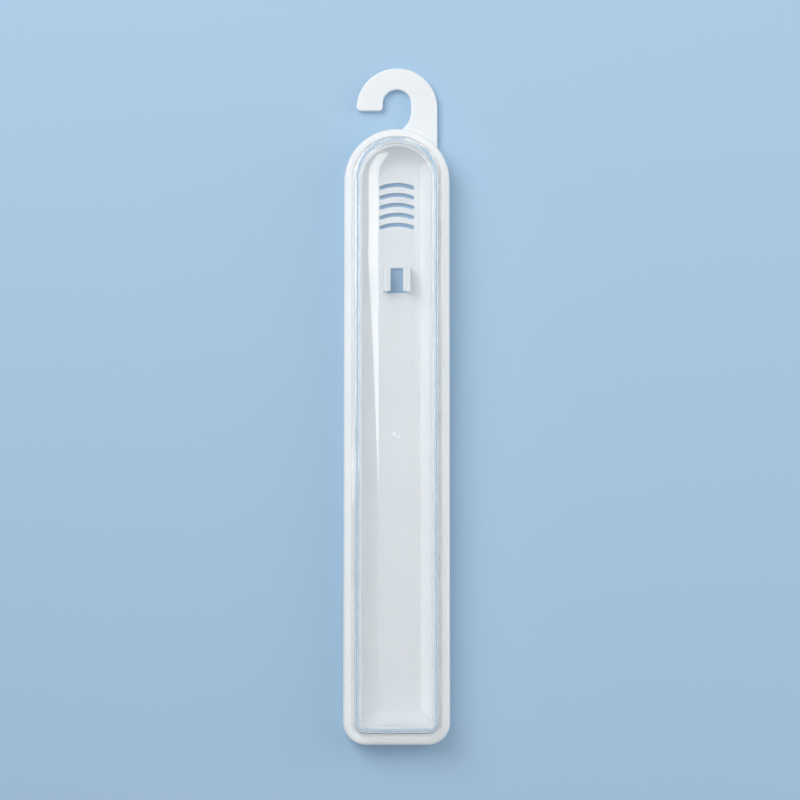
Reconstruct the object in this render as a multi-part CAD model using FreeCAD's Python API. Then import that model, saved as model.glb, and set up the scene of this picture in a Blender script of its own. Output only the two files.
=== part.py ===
import FreeCAD, Part
import math
import os

# A travel case for one toothbrush: a white tray with a hanging hook, and a clear lid that lifts off it.
# The case lies on its back. X runs across it, +Y along it to the hook and +Z out of the back to the lid.
# The origin is on the back face, in the middle of the whole outline. Lengths are in millimetres.

Vector = FreeCAD.Vector

# Whole case
case_length = 210.0          # from the bottom end to the top of the hook
case_width = 32.6
case_thickness = 22.0        # from the back face to the top of the lid
body_corner_radius = 6.75    # the two corners of the bottom end

# Tray
floor_thickness = 1.6
seat_height = 8.75           # the ledge that carries the lid, above the back face
rim_rise = 0.55              # the rim above the ledge
rim_width = 2.3
rim_outer_round = 1.1
rim_inner_round = 0.2
back_edge_round = 0.8
dish_radius = 5.6            # the curve from the floor up to the ledge
ledge_strip = 0.9            # the part of the ledge that lies inside the lid's wall

# Hanging hook
hook_reach = 20.15           # the top of the hook above the top of the tray
hook_thickness = 2.6
hook_outer_radius = 12.6
hook_eye_radius = 4.4
hook_eye_rise = 1.55         # the eye's centre above the centre of the outer curve
hook_tip_drop = 2.32         # the flat end of the tip below the eye's centre
hook_tip_round = 1.3
hook_root_radius = 7.2
hook_root_sink = 0.258       # how far the root's curve runs into the rim
hook_edge_round = 0.45

# Vents in the floor
vent_count = 5
vent_pitch = 3.12
vent_width = 1.3
vent_span = 10.9
vent_bend_radius = 13.3
vent_drop = 16.45            # the first vent below the top of the arch

# Neck clip
clip_drop = 42.6             # the clip's upper end below the top of the arch
clip_length = 7.75
clip_inner_width = 6.0
clip_throat = 3.9            # the gap between the two beads
prong_wall = 1.15
prong_height = 6.4           # above the floor
prong_tip_width = 0.6
prong_tip_round = 0.5
prong_foot_round = 0.5
bead_root_height = 4.45      # where the bead starts to grow inwards, above the floor
bead_nose_height = 5.2
bead_nose_width = 0.35

# Lid
lid_wall = 0.7
lid_draft = 0.75             # degrees
lid_shoulder_radius = 7.3
flange_width = 1.05
flange_thickness = 0.5
flange_gap = 0.15            # clearance between the flange and the rim
flange_edge_round = 0.2
flange_foot_round = 0.2
gate_radius = 1.25
gate_depth = 0.3
gate_nub_radius = 0.3
gate_nub_height = 0.2

# Friction beads along the lid's flange
grip_bead_radius = 0.2
grip_bead_proud = 0.1
grip_bead_length = 10.0

# Shares and the overrun of every cut
grip_bead_shares = (0.2, 0.5, 0.87)   # down the straight sides from the arch to the corners
gate_place_share = 0.5065        # down the body from the top of its arch
flat_corner_share = 0.5          # a corner beside a flat, against the same corner at the ledge
largest_round_share = 0.9        # the most of its wall that a rounding may take
round_steps = 8                  # outlines along the round between a wall and a flat
overrun = 1.0
same_height = 0.001              # two heights no further apart than this are one

# Sizes and places that follow from the sizes above
body_length = case_length - hook_reach
rim_height = seat_height + rim_rise
body_low = -case_length / 2
body_high = body_low + body_length
arch_centre = body_high - case_width / 2
hook_centre = case_length / 2 - hook_outer_radius
eye_centre = hook_centre + hook_eye_rise
flange_inset = rim_width + flange_gap
wall_inset = flange_inset + flange_width
hollow_inset = wall_inset + lid_wall
dish_inset = hollow_inset + ledge_strip


def limited(rounding, room):
    """A rounding no larger than its wall allows."""
    return min(rounding, room * largest_round_share)


def point(x, y, z=0):
    return Vector(x, y, z)


def line(start, end):
    return Part.LineSegment(start, end).toShape()


def direction(degrees):
    """A level direction, counted from +X towards +Y."""
    angle = math.radians(degrees)
    return Vector(math.cos(angle), math.sin(angle), 0)


def arc(centre, radius, start_degrees, end_degrees):
    """A level arc from one direction to another, as seen from its centre."""
    angles = (start_degrees, (start_degrees + end_degrees) / 2, end_degrees)
    return Part.Arc(*[centre + direction(angle) * radius for angle in angles]).toShape()


def case_outline(inset, corner, height):
    """The body's outline, drawn in by inset all round: an arch at the top and two round corners below."""
    side = case_width / 2 - inset
    low = body_low + inset
    left_corner = point(corner - side, low + corner, height)
    right_corner = point(side - corner, low + corner, height)
    return Part.Wire([
        arc(point(0, arch_centre, height), side, 0, 180),
        line(point(-side, arch_centre, height), point(-side, left_corner.y, height)),
        arc(left_corner, corner, 180, 270),
        line(point(left_corner.x, low, height), point(right_corner.x, low, height)),
        arc(right_corner, corner, 270, 360),
        line(point(side, right_corner.y, height), point(side, arch_centre, height)),
    ])


def slab(outline, thickness):
    return Part.Face(outline).extrude(Vector(0, 0, thickness))


def is_level(shape, height):
    box = shape.BoundBox
    return max(abs(box.ZMin - height), abs(box.ZMax - height)) < same_height


def level_edges(shape, height):
    """All the edges that lie level at one height."""
    return [edge for edge in shape.Edges if is_level(edge, height)]


def level_face(shape, height):
    """The largest face that lies level at one height."""
    faces = [face for face in shape.Faces if is_level(face, height)]
    return max(faces, key=lambda face: face.OuterWire.Length)


def tray_body():
    """The rim, back and hook as one block, with the rebate and the dished floor cut into it."""
    body = slab(case_outline(0, body_corner_radius, 0), rim_height)
    body = body.fuse(hook_plate()).removeSplitter()
    back_round = limited(back_edge_round, hook_thickness / 2)
    body = body.makeFillet(back_round, level_face(body, 0).OuterWire.Edges)
    face_round = limited(hook_edge_round, hook_thickness / 2)
    body = body.makeFillet(face_round, hook_face_edges(body))
    body = body.cut(rebate_cut())
    inner_round = limited(rim_inner_round, rim_width)
    body = body.makeFillet(inner_round, level_face(body, rim_height).Wires[1].Edges)
    outer_round = limited(rim_outer_round, rim_width - inner_round)
    body = body.makeFillet(outer_round, level_face(body, rim_height).OuterWire.Edges)
    return body.cut(dish_cut())


def hook_face_edges(body):
    """The edges round the front of the hook, without the one where the rim rises from it."""
    arch = point(0, arch_centre, hook_thickness)
    free_edges = []
    for edge in level_face(body, hook_thickness).OuterWire.Edges:
        middle = edge.valueAt((edge.FirstParameter + edge.LastParameter) / 2)
        if middle.distanceToPoint(arch) > case_width / 2 + same_height:
            free_edges.append(edge)
    return free_edges


def rebate_cut():
    """The step inside the rim that the lid's flange drops into."""
    outline = case_outline(rim_width, body_corner_radius - rim_width, seat_height)
    return slab(outline, rim_rise + overrun)


def corner_at(inset, foot_inset, flat_inset):
    """A corner's radius on its way from a wall's foot, where it follows the rim, to the edge of a flat."""
    progress = (inset - foot_inset) / (flat_inset - foot_inset)
    return (body_corner_radius - foot_inset) * (1 - (1 - flat_corner_share) * progress)


def rounded_solid(foot_inset, flat_inset, flat_height, radius, start_degrees, way):
    """A solid whose side turns from a wall into a flat, above the wall if way is 1, below it if -1."""
    outlines = []
    for step in range(round_steps + 1):
        angle = math.radians(start_degrees + (90 - start_degrees) * step / round_steps)
        inset = flat_inset - radius * math.cos(angle)
        height = flat_height - way * radius * (1 - math.sin(angle))
        outlines.append(case_outline(inset, corner_at(inset, foot_inset, flat_inset), height))
    return Part.makeLoft(outlines, True, False)


def dish_cut():
    """The hollow under the lid, which curves down to the floor from the inner edge of the ledge."""
    rise = min(seat_height - floor_thickness, dish_radius)
    start_angle = math.degrees(math.asin(1 - rise / dish_radius))
    floor_inset = dish_inset + math.sqrt(rise * (2 * dish_radius - rise))
    dish = rounded_solid(dish_inset, floor_inset, floor_thickness, dish_radius, start_angle, -1)
    mouth_low = floor_thickness + rise
    mouth = case_outline(dish_inset, body_corner_radius - dish_inset, mouth_low)
    return dish.fuse(slab(mouth, seat_height - mouth_low + overrun))


def hook_plate():
    """The flat hook with its shank on the +X side, running on inside the rim down to the arch's centre."""
    outer = hook_outer_radius
    eye = hook_eye_radius
    tip_end = eye_centre - hook_tip_drop
    tip_corner = tip_end + hook_tip_round
    tip_reach = outer - hook_tip_round
    tip_angle = 180 - math.degrees(math.asin((tip_corner - hook_centre) / tip_reach))
    tip_x = tip_reach * math.cos(math.radians(tip_angle))
    root_radius = limited(hook_root_radius, eye_centre - body_high)
    root_x = eye - root_radius
    root_low = arch_centre + math.sqrt((case_width / 2) ** 2 - root_x ** 2) - hook_root_sink
    root_y = root_low + root_radius
    outline = Part.Wire([
        line(point(outer, arch_centre), point(outer, hook_centre)),
        arc(point(0, hook_centre), outer, 0, tip_angle),
        arc(point(tip_x, tip_corner), hook_tip_round, tip_angle, 270),
        line(point(tip_x, tip_end), point(-eye - hook_tip_round, tip_end)),
        arc(point(-eye - hook_tip_round, tip_corner), hook_tip_round, 270, 360),
        line(point(-eye, tip_corner), point(-eye, eye_centre)),
        arc(point(0, eye_centre), eye, 180, 0),
        line(point(eye, eye_centre), point(eye, root_y)),
        arc(point(root_x, root_y), root_radius, 0, -90),
        line(point(root_x, root_low), point(root_x, arch_centre)),
        line(point(root_x, arch_centre), point(outer, arch_centre)),
    ])
    return slab(outline, hook_thickness)


def vent_cuts():
    """Arc-shaped slots through the floor, bowed towards the hook."""
    half_width = vent_width / 2
    half_angle = math.degrees(math.asin((vent_span / 2 - half_width) / vent_bend_radius))
    start_angle = 90 - half_angle
    end_angle = 90 + half_angle
    start_direction = direction(start_angle)
    end_direction = direction(end_angle)
    cuts = []
    for index in range(vent_count):
        middle = body_high - vent_drop - index * vent_pitch
        centre = point(0, middle - vent_bend_radius, -overrun)
        outline = Part.Wire([
            arc(centre, vent_bend_radius + half_width, start_angle, end_angle),
            arc(centre + end_direction * vent_bend_radius, half_width, end_angle, end_angle + 180),
            arc(centre, vent_bend_radius - half_width, end_angle, start_angle),
            arc(centre + start_direction * vent_bend_radius, half_width, start_angle - 180, start_angle),
        ])
        cuts.append(slab(outline, floor_thickness + 2 * overrun))
    return cuts


def clip_window():
    """The hole between the prongs, which lets the mould form the beads from behind."""
    low = body_high - clip_drop - clip_length
    corner = point(-clip_inner_width / 2, low, -overrun)
    return Part.makeBox(clip_inner_width, clip_length, floor_thickness + 2 * overrun, corner)


def prong(side):
    """One prong of the neck clip, on side 1 or -1: a wall, a bead at its tip and a rounded foot."""
    low = body_high - clip_drop - clip_length
    inner = clip_inner_width / 2
    outer = inner + prong_wall
    top = floor_thickness + prong_height
    bead_root = floor_thickness + bead_root_height
    bead_nose = floor_thickness + bead_nose_height
    nose = clip_throat / 2
    tip_round = limited(prong_tip_round, prong_wall)
    foot = floor_thickness + prong_foot_round
    diagonal = math.cos(math.radians(45))

    def at(x, z):
        return Vector(side * x, low, z)

    tip_middle = at(outer - tip_round * (1 - diagonal), top - tip_round * (1 - diagonal))
    foot_middle = at(outer + prong_foot_round * (1 - diagonal), foot - prong_foot_round * diagonal)
    profile = Part.Wire([
        line(at(inner, 0), at(inner, bead_root)),
        line(at(inner, bead_root), at(nose, bead_nose)),
        line(at(nose, bead_nose), at(nose, bead_nose + bead_nose_width)),
        line(at(nose, bead_nose + bead_nose_width), at(outer - prong_tip_width, top)),
        line(at(outer - prong_tip_width, top), at(outer - tip_round, top)),
        Part.Arc(at(outer - tip_round, top), tip_middle, at(outer, top - tip_round)).toShape(),
        line(at(outer, top - tip_round), at(outer, foot)),
        Part.Arc(at(outer, foot), foot_middle, at(outer + prong_foot_round, floor_thickness)).toShape(),
        line(at(outer + prong_foot_round, floor_thickness), at(outer + prong_foot_round, 0)),
        line(at(outer + prong_foot_round, 0), at(inner, 0)),
    ])
    return Part.Face(profile).extrude(Vector(0, clip_length, 0))


def base_tray():
    tray = tray_body()
    for vent in vent_cuts():
        tray = tray.cut(vent)
    tray = tray.cut(clip_window())
    for side in (1, -1):
        tray = tray.fuse(prong(side))
    return tray.removeSplitter()


def dome(inset, top, shoulder):
    """A drafted wall that follows the rim, with a round shoulder and a flat top."""
    draft = math.radians(lid_draft)
    bend_height = top - shoulder * (1 - math.sin(draft))
    bend_inset = inset + (bend_height - seat_height) * math.tan(draft)
    flat_inset = bend_inset + shoulder * math.cos(draft)
    foot = case_outline(inset, corner_at(inset, inset, flat_inset), seat_height)
    bend = case_outline(bend_inset, corner_at(bend_inset, inset, flat_inset), bend_height)
    wall = Part.makeLoft([foot, bend], True, True)
    return wall.fuse(rounded_solid(inset, flat_inset, top, shoulder, lid_draft, 1))


def gate_mark():
    """The round dimple left by the mould's gate, and the nub in it."""
    ball_radius = (gate_radius ** 2 + gate_depth ** 2) / (2 * gate_depth)
    place = point(0, body_high - body_length * gate_place_share, case_thickness - gate_depth)
    dimple = Part.makeSphere(ball_radius, place + Vector(0, 0, ball_radius))
    nub = Part.makeCylinder(gate_nub_radius, overrun + gate_nub_height, place - Vector(0, 0, overrun))
    return dimple.cut(nub)


def grip_beads():
    """Small ribs along the edge of the flange, which grip the rim."""
    flange_side = case_width / 2 - flange_inset
    beads = []
    straight_length = arch_centre - body_low - body_corner_radius
    for share in grip_bead_shares:
        low = arch_centre - straight_length * share - grip_bead_length / 2
        for side in (1, -1):
            middle = side * (flange_side + grip_bead_proud - grip_bead_radius)
            place = point(middle, low, seat_height + flange_thickness / 2)
            beads.append(Part.makeCylinder(grip_bead_radius, grip_bead_length, place, Vector(0, 1, 0)))
    return beads


def flange():
    """The flat edge of the lid that lies on the tray's ledge."""
    corner = body_corner_radius - flange_inset
    edge = slab(case_outline(flange_inset, corner, seat_height), flange_thickness)
    return edge.makeFillet(flange_edge_round, level_edges(edge, seat_height + flange_thickness))


def clear_lid():
    outside = dome(wall_inset, case_thickness, lid_shoulder_radius)
    inside = dome(hollow_inset, case_thickness - lid_wall, lid_shoulder_radius - lid_wall)
    lid = outside.fuse(flange())
    flange_top = level_face(lid, seat_height + flange_thickness)
    lid = lid.makeFillet(flange_foot_round, flange_top.Wires[1].Edges)
    for bead in grip_beads():
        lid = lid.fuse(bead)
    lid = lid.cut(inside)
    return lid.cut(gate_mark()).removeSplitter()


def main():
    os.makedirs("parts", exist_ok=True)
    pieces = {"base_tray": base_tray(), "clear_lid": clear_lid()}
    for name, shape in pieces.items():
        shape.exportStep(os.path.join("parts", name + ".step"))


main()
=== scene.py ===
import bmesh
import bpy
import math
from mathutils import Matrix, Vector


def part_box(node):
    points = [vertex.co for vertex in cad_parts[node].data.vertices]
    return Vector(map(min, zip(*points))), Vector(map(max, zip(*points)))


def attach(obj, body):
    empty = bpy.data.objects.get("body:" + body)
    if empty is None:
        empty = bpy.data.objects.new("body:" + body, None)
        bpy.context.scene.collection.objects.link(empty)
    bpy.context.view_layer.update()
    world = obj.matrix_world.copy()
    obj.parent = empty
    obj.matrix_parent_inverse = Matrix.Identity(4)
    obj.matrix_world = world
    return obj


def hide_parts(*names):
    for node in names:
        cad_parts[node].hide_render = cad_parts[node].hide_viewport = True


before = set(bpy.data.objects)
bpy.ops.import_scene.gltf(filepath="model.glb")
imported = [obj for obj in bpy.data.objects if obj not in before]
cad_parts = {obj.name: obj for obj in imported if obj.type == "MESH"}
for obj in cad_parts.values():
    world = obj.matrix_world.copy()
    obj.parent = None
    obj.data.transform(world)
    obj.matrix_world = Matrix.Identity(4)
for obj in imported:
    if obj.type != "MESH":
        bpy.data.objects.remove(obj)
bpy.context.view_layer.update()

# A toothbrush travel case lying on its back: a white tray with a hook and a clear lid.
# Places in the scene are in metres, and the sizes of the lid are in millimetres.
millimetre = 0.001

# Camera: a long lens above the case, tilted a little towards its lower end
camera_distance = 1.1
camera_tilt = math.radians(5.3)
camera_roll = math.radians(0.02)
camera_lens = 159.72            # millimetres
camera_sensor = 36              # millimetres
camera_aim = Vector((1.03, 1.33, 0)) * millimetre

# Light: a tilted softbox at the upper left, an upright fill panel on the right and a pale room
softbox_inner = Vector((-0.04, 0.03, 1.0))        # the corner over the case
softbox_outer = Vector((-0.599, 0.137, 0.45))     # the other end of the lower edge
softbox_upper = Vector((-0.364, 1.331, 1.584))    # the other end of the inner edge
softbox_power = 12.5            # watts
fill_centre = Vector((0.8, 0.15, 0.7))
fill_width = 0.8
fill_height = 1.4
fill_power = 3.3                # watts
room_colour = (0.97, 0.985, 1.0)
room_strength = 0.50

# Light paths: light crosses the clear walls many times before it gets out of the lid again
path_bounces = 48
matt_bounces = 12

# Finishes: a pair of shades or roughnesses is a range, and a noise is its grains to the metre and its detail
tray_shades = ((0.80, 0.83, 0.85), (0.86, 0.88, 0.895))
tray_shade_noise = (45, 3)
tray_roughness = (0.30, 0.44)
tray_roughness_noise = (350, 4)
tray_skin_height = 0.004 * millimetre
tray_skin_noise = (5000, 2)
tray_refraction = 1.49
tray_glow_share = 0.8           # how much of the light that it scatters comes from below the surface
tray_glow_depth = 0.8 * millimetre
lid_shades = ((0.975, 0.985, 0.99), (0.985, 0.992, 0.996))
lid_shade_noise = (60, 2)
lid_roughness = (0.0, 0.05)
lid_roughness_noise = (220, 5)
lid_wave_height = 0.0006 * millimetre
lid_wave_noise = (90, 1)
lid_refraction = 1.52
floor_colour = (0.40, 0.58, 0.76)
floor_shade_share = 0.985       # the darker patches against the colour
floor_shade_noise = (9, 3)
floor_roughness = 0.8
floor_width = 6.0

# Lid, in millimetres, as the tray's rim and ledge take it
rim_width = 2.3
body_corner_radius = 6.75
seat_height = 8.75
seat_gap = 0.03                 # the air under the flange
lid_wall = 0.7
lid_draft = math.radians(0.75)
lid_shoulder_radius = 7.3
flange_width = 1.05
flange_thickness = 0.5
flange_gap = 0.15
flange_edge_round = 0.2
flange_foot_round = 0.2
flat_corner_share = 0.5         # a corner beside the flat top, against the same corner at the ledge
gate_radius = 1.25
gate_depth = 0.3
gate_nub_radius = 0.3
gate_nub_height = 0.2
gate_place_share = 0.5065       # down the body from the top of its arch
grip_bead_proud = 0.1
grip_bead_length = 10.0
grip_bead_bluntness = 4         # a bead's ends are blunter with a higher one
grip_bead_shares = (0.2, 0.5, 0.87)

# How finely the lid is divided
arch_steps = 72
side_steps = 80
corner_steps = 18
end_steps = 8
edge_round_steps = 6
foot_round_steps = 5
wall_steps = 4
shoulder_steps = 24
gate_steps = 40
gate_bowl_steps = 8
sharp_angle = math.radians(22)  # edges that turn more than this stay sharp

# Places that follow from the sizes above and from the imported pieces
tray_low, tray_high = (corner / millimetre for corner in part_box("base_tray"))
lid_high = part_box("clear_lid")[1] / millimetre
half_width = tray_high.x
body_low = tray_low.y
lid_top = lid_high.z
flange_inset = rim_width + flange_gap
wall_inset = flange_inset + flange_width
hollow_inset = wall_inset + lid_wall
body_high = lid_high.y + flange_inset
arch_centre = body_high - half_width
flange_top = seat_height + flange_thickness
draft_slope = math.tan(lid_draft)


def add_object(name, data):
    """Links a new object to the scene."""
    item = bpy.data.objects.new(name, data)
    bpy.context.scene.collection.objects.link(item)
    return item


def add_node(tree, kind, **settings):
    """A new shader node with some of its input sockets set by name."""
    node = tree.nodes.new(kind)
    for socket, value in settings.items():
        node.inputs[socket].default_value = value
    return node


def new_material(name):
    """A material with a Principled shader: the material, its tree and the shader."""
    material = bpy.data.materials.new(name)
    material.use_nodes = True
    tree = material.node_tree
    return material, tree, tree.nodes["Principled BSDF"]


def add_noise(tree, scale, detail):
    """Noise in the piece's own coordinates, in grains to the metre."""
    place = tree.nodes.new("ShaderNodeTexCoord")
    noise = add_node(tree, "ShaderNodeTexNoise", Scale=scale, Detail=detail)
    tree.links.new(place.outputs["Object"], noise.inputs["Vector"])
    return noise.outputs["Fac"]


def add_ramp(tree, source, low, high):
    """A value that follows source from low to high."""
    ramp = tree.nodes.new("ShaderNodeMapRange")
    ramp.inputs["To Min"].default_value = low
    ramp.inputs["To Max"].default_value = high
    tree.links.new(source, ramp.inputs["Value"])
    return ramp.outputs["Result"]


def add_bump(tree, shader, source, height):
    """Raises the surface by up to height metres where source is 1."""
    bump = add_node(tree, "ShaderNodeBump", Distance=height)
    tree.links.new(source, bump.inputs["Height"])
    tree.links.new(bump.outputs["Normal"], shader.inputs["Normal"])


def add_colour_mix(tree, source, first, second):
    """A colour that follows source from the first to the second."""
    ramp = tree.nodes.new("ShaderNodeValToRGB")
    ramp.color_ramp.elements[0].color = (*first, 1)
    ramp.color_ramp.elements[1].color = (*second, 1)
    tree.links.new(source, ramp.inputs["Fac"])
    return ramp.outputs["Color"]


def tray_plastic():
    """White moulded plastic with a soft shine and a faint unevenness."""
    material, tree, shader = new_material("white_plastic")
    colour = add_colour_mix(tree, add_noise(tree, *tray_shade_noise), *tray_shades)
    tree.links.new(colour, shader.inputs["Base Color"])
    roughness = add_ramp(tree, add_noise(tree, *tray_roughness_noise), *tray_roughness)
    tree.links.new(roughness, shader.inputs["Roughness"])
    add_bump(tree, shader, add_noise(tree, *tray_skin_noise), tray_skin_height)
    shader.inputs["IOR"].default_value = tray_refraction
    shader.inputs["Subsurface Weight"].default_value = tray_glow_share
    shader.inputs["Subsurface Radius"].default_value = (1.0, 1.0, 1.0)
    shader.inputs["Subsurface Scale"].default_value = tray_glow_depth
    return material


def lid_plastic():
    """Clear moulded plastic with faint waves from the mould and a little handling haze."""
    material, tree, shader = new_material("clear_plastic")
    shader.inputs["Transmission Weight"].default_value = 1
    shader.inputs["IOR"].default_value = lid_refraction
    colour = add_colour_mix(tree, add_noise(tree, *lid_shade_noise), *lid_shades)
    tree.links.new(colour, shader.inputs["Base Color"])
    roughness = add_ramp(tree, add_noise(tree, *lid_roughness_noise), *lid_roughness)
    tree.links.new(roughness, shader.inputs["Roughness"])
    add_bump(tree, shader, add_noise(tree, *lid_wave_noise), lid_wave_height)
    return material


def floor_material():
    """A plain pale matt sheet."""
    material, tree, shader = new_material("pale_floor")
    shade = tuple(channel * floor_shade_share for channel in floor_colour)
    colour = add_colour_mix(tree, add_noise(tree, *floor_shade_noise), shade, floor_colour)
    tree.links.new(colour, shader.inputs["Base Color"])
    shader.inputs["Roughness"].default_value = floor_roughness
    return material


def dress(node_name, material):
    """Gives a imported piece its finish."""
    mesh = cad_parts[node_name].data
    mesh.materials.clear()
    mesh.materials.append(material)


def turned(centre, radius, start, end, steps):
    """Points of an arc from one angle to another, in radians, both ends included."""
    points = []
    for step in range(steps + 1):
        angle = start + (end - start) * step / steps
        points.append((centre[0] + radius * math.cos(angle), centre[1] + radius * math.sin(angle)))
    return points


def straight(start, end, steps):
    """Points of a straight run, with its start and without its end."""
    return [Vector(start).lerp(Vector(end), step / steps) for step in range(steps)]


def wall_at(inset, height):
    """How far in from the case's outline a drafted wall is at one height."""
    return inset + (height - seat_height) * draft_slope


def shoulder(inset, top, radius):
    """The arc that turns a drafted wall into the flat top, as pairs of inset and height."""
    centre_height = top - radius
    start_height = centre_height + radius * math.sin(lid_draft)
    centre = (wall_at(inset, start_height) + radius * math.cos(lid_draft), centre_height)
    return turned(centre, radius, math.pi - lid_draft, math.pi / 2, shoulder_steps)


def foot():
    """The small round between the flange and the wall, as pairs of inset and height."""
    radius = flange_foot_round
    centre_height = flange_top + radius
    start_height = centre_height - radius * math.sin(lid_draft)
    centre = (wall_at(wall_inset, start_height) - radius * math.cos(lid_draft), centre_height)
    return turned(centre, radius, -math.pi / 2, -lid_draft, foot_round_steps)


def flange_profile():
    """The edge of the flange from the seat to its top, as pairs of inset and height."""
    low = seat_height + seat_gap
    centre = (flange_inset + flange_edge_round, flange_top - flange_edge_round)
    return [(flange_inset, low)] + turned(centre, flange_edge_round, math.pi, math.pi / 2, edge_round_steps)


def grip_bulge(y):
    """How far the flange's edge stands out at a place along its straight sides."""
    straight_length = arch_centre - body_low - body_corner_radius
    for share in grip_bead_shares:
        away = abs(y - arch_centre + straight_length * share) / (grip_bead_length / 2)
        if away < 1:
            return grip_bead_proud * math.sqrt(1 - away ** grip_bead_bluntness)
    return 0


def corner_at(inset, foot_inset, flat_inset):
    """A corner's radius: it follows the rim up to a wall's foot, then tightens towards the flat top."""
    if inset < foot_inset:
        return body_corner_radius - inset
    progress = (inset - foot_inset) / (flat_inset - foot_inset)
    return (body_corner_radius - foot_inset) * (1 - (1 - flat_corner_share) * progress)


def ring(inset, height, radius, has_beads=False):
    """The body's outline drawn in by inset, with corners of the given radius."""
    side = half_width - inset
    low = body_low + inset
    corner_x = side - radius
    corner_y = low + radius
    arch = turned((0, arch_centre), side, 0, math.pi, arch_steps)[:-1]
    left_side = straight((-side, arch_centre), (-side, corner_y), side_steps)
    left_corner = turned((-corner_x, corner_y), radius, math.pi, 1.5 * math.pi, corner_steps)[:-1]
    end = straight((-corner_x, low), (corner_x, low), end_steps)
    right_corner = turned((corner_x, corner_y), radius, 1.5 * math.pi, 2 * math.pi, corner_steps)[:-1]
    right_side = straight((side, corner_y), (side, arch_centre), side_steps)
    points = []
    for x, y in arch + left_side + left_corner + end + right_corner + right_side:
        bulge = grip_bulge(y) if has_beads and abs(x) > side - flange_gap else 0
        points.append(Vector((x + math.copysign(bulge, x), y, height)) * millimetre)
    return points


def circle(radius, height):
    """A ring round the gate mark."""
    middle = (0, body_high - (body_high - body_low) * gate_place_share)
    return [Vector((x, y, height)) * millimetre
            for x, y in turned(middle, radius, 0, 2 * math.pi, gate_steps)[:-1]]


def gate_bowl():
    """Rings of the gate's round dimple, from its edge in to the nub, then up to the nub's top."""
    ball_radius = (gate_radius ** 2 + gate_depth ** 2) / (2 * gate_depth)
    ball_height = lid_top - gate_depth + ball_radius
    rings = []
    for step in range(gate_bowl_steps + 1):
        radius = gate_radius + (gate_nub_radius - gate_radius) * step / gate_bowl_steps
        rings.append(circle(radius, ball_height - math.sqrt(ball_radius ** 2 - radius ** 2)))
    return rings + [circle(gate_nub_radius, lid_top - gate_depth + gate_nub_height)]


def add_ring(mesh, points):
    return [mesh.verts.new(point) for point in points]


def join_rings(mesh, first, second):
    """A band of four-sided faces between two rings of as many points."""
    for index in range(len(first)):
        after = (index + 1) % len(first)
        mesh.faces.new((first[index], first[after], second[after], second[index]))


def join_all(mesh, rings):
    for first, second in zip(rings, rings[1:]):
        join_rings(mesh, first, second)


def ring_edges(mesh, vertices):
    """The edges along a ring, made where they are missing."""
    edges = []
    for index, vertex in enumerate(vertices):
        after = vertices[(index + 1) % len(vertices)]
        edges.append(mesh.edges.get((vertex, after)) or mesh.edges.new((vertex, after)))
    return edges


def fill_flat(mesh, *rings):
    """A flat face inside the first ring, round any others."""
    edges = [edge for vertices in rings for edge in ring_edges(mesh, vertices)]
    bmesh.ops.triangle_fill(mesh, use_beauty=True, edges=edges)


def dome(mesh, foot_inset, points):
    """Rings along a wall and its shoulder, from pairs of inset and height."""
    flat_inset = points[-1][0]
    rings = []
    for inset, height in points:
        radius = corner_at(inset, foot_inset, flat_inset)
        rings.append(add_ring(mesh, ring(inset, height, radius)))
    return rings


def lid_outside(mesh):
    """The flange, wall and shoulder up to the flat top, with the gate's dimple in it."""
    edge_rings = [add_ring(mesh, ring(inset, height, body_corner_radius - inset, True))
                  for inset, height in flange_profile()]
    foot_points = foot()
    shoulder_points = shoulder(wall_inset, lid_top, lid_shoulder_radius)
    wall_points = straight(foot_points[-1], shoulder_points[0], wall_steps)[1:]
    dome_rings = dome(mesh, wall_inset, foot_points + wall_points + shoulder_points)
    gate_rings = [add_ring(mesh, points) for points in gate_bowl()]
    join_all(mesh, edge_rings + dome_rings)
    join_all(mesh, gate_rings)
    fill_flat(mesh, dome_rings[-1], gate_rings[0])
    fill_flat(mesh, gate_rings[-1])
    return edge_rings[0]


def lid_inside(mesh):
    """The hollow: a wall up from the seat, a shoulder and a flat top."""
    shoulder_points = shoulder(hollow_inset, lid_top - lid_wall, lid_shoulder_radius - lid_wall)
    low_point = (wall_at(hollow_inset, seat_height + seat_gap), seat_height + seat_gap)
    rings = dome(mesh, hollow_inset, straight(low_point, shoulder_points[0], wall_steps) + shoulder_points)
    join_all(mesh, rings)
    fill_flat(mesh, rings[-1])
    return rings[0]


def build_lid():
    shape = bmesh.new()
    outer_foot = lid_outside(shape)
    inner_foot = lid_inside(shape)
    join_rings(shape, outer_foot, inner_foot)
    bmesh.ops.recalc_face_normals(shape, faces=shape.faces)
    mesh = bpy.data.meshes.new("lid_shell")
    shape.to_mesh(mesh)
    shape.free()
    mesh.shade_smooth()
    mesh.set_sharp_from_angle(angle=sharp_angle)
    mesh.materials.append(lid_plastic())
    lid = add_object("lid_shell", mesh)
    lid.modifiers.new("flats", "WEIGHTED_NORMAL").keep_sharp = True
    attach(lid, "lid")
    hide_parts("clear_lid")


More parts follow.
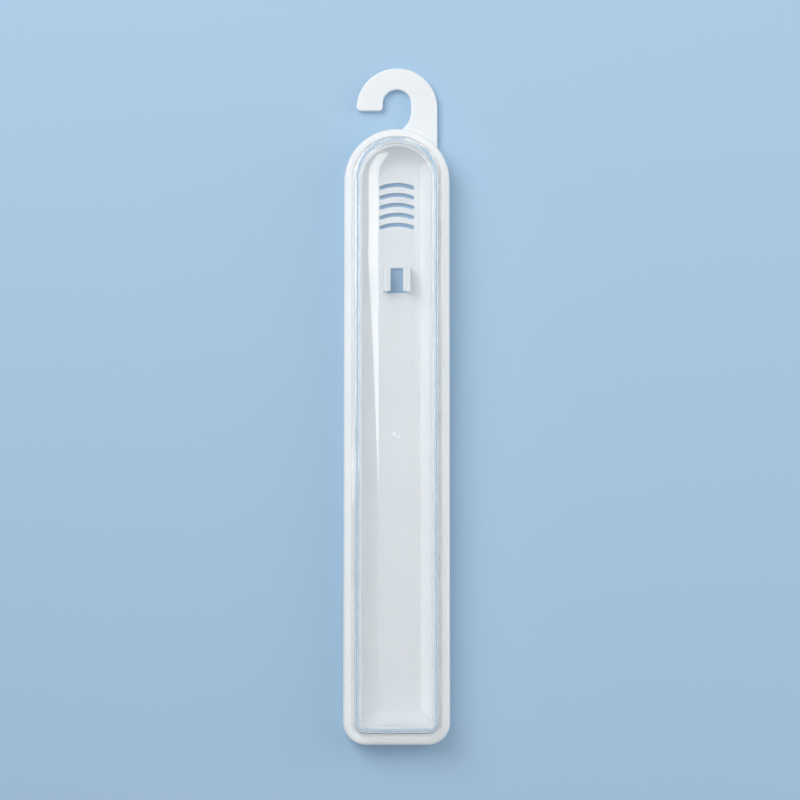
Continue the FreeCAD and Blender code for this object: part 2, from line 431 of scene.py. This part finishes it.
def build_floor():
    reach = floor_width / 2
    corners = [(-reach, -reach, 0), (reach, -reach, 0), (reach, reach, 0), (-reach, reach, 0)]
    mesh = bpy.data.meshes.new("floor")
    mesh.from_pydata(corners, [], [(0, 1, 2, 3)])
    mesh.materials.append(floor_material())
    floor = add_object("floor", mesh)


def add_lamp(name, width, height, power):
    """A rectangular area lamp."""
    light = bpy.data.lights.new(name, "AREA")
    light.shape = "RECTANGLE"
    light.size = width
    light.size_y = height
    light.energy = power
    return add_object(name, light)


def build_softbox():
    lower_edge = softbox_inner - softbox_outer
    inner_edge = softbox_upper - softbox_inner
    back = lower_edge.cross(inner_edge)
    axes = Matrix((lower_edge.normalized(), inner_edge.normalized(), back.normalized()))
    lamp = add_lamp("softbox", lower_edge.length, inner_edge.length, softbox_power)
    lamp.location = (softbox_outer + softbox_upper) / 2
    lamp.rotation_euler = axes.transposed().to_euler()


def build_fill():
    lamp = add_lamp("fill", fill_height, fill_width, fill_power)
    lamp.location = fill_centre
    lamp.rotation_euler.y = math.pi / 2


def build_room():
    world = bpy.data.worlds.new("room")
    world.use_nodes = True
    room = world.node_tree.nodes["Background"]
    room.inputs["Color"].default_value = (*room_colour, 1)
    room.inputs["Strength"].default_value = room_strength
    bpy.context.scene.world = world


def set_paths():
    """Lets light cross the clear walls often, and keeps its paths sharp."""
    paths = bpy.context.scene.cycles
    paths.blur_glossy = 0
    paths.max_bounces = path_bounces
    paths.transmission_bounces = path_bounces
    paths.glossy_bounces = path_bounces
    paths.diffuse_bounces = matt_bounces


def build_camera():
    lens = bpy.data.cameras.new("camera")
    lens.sensor_width = camera_sensor
    lens.lens = camera_lens
    camera = add_object("camera", lens)
    back = Vector((0, -math.sin(camera_tilt), math.cos(camera_tilt)))
    camera.location = camera_aim + back * camera_distance
    camera.rotation_euler = (camera_tilt, 0, camera_roll)
    bpy.context.scene.camera = camera


dress("base_tray", tray_plastic())
build_lid()
build_floor()
build_softbox()
build_fill()
build_room()
build_camera()
bpy.context.scene.view_settings.view_transform = "Standard"
set_paths()
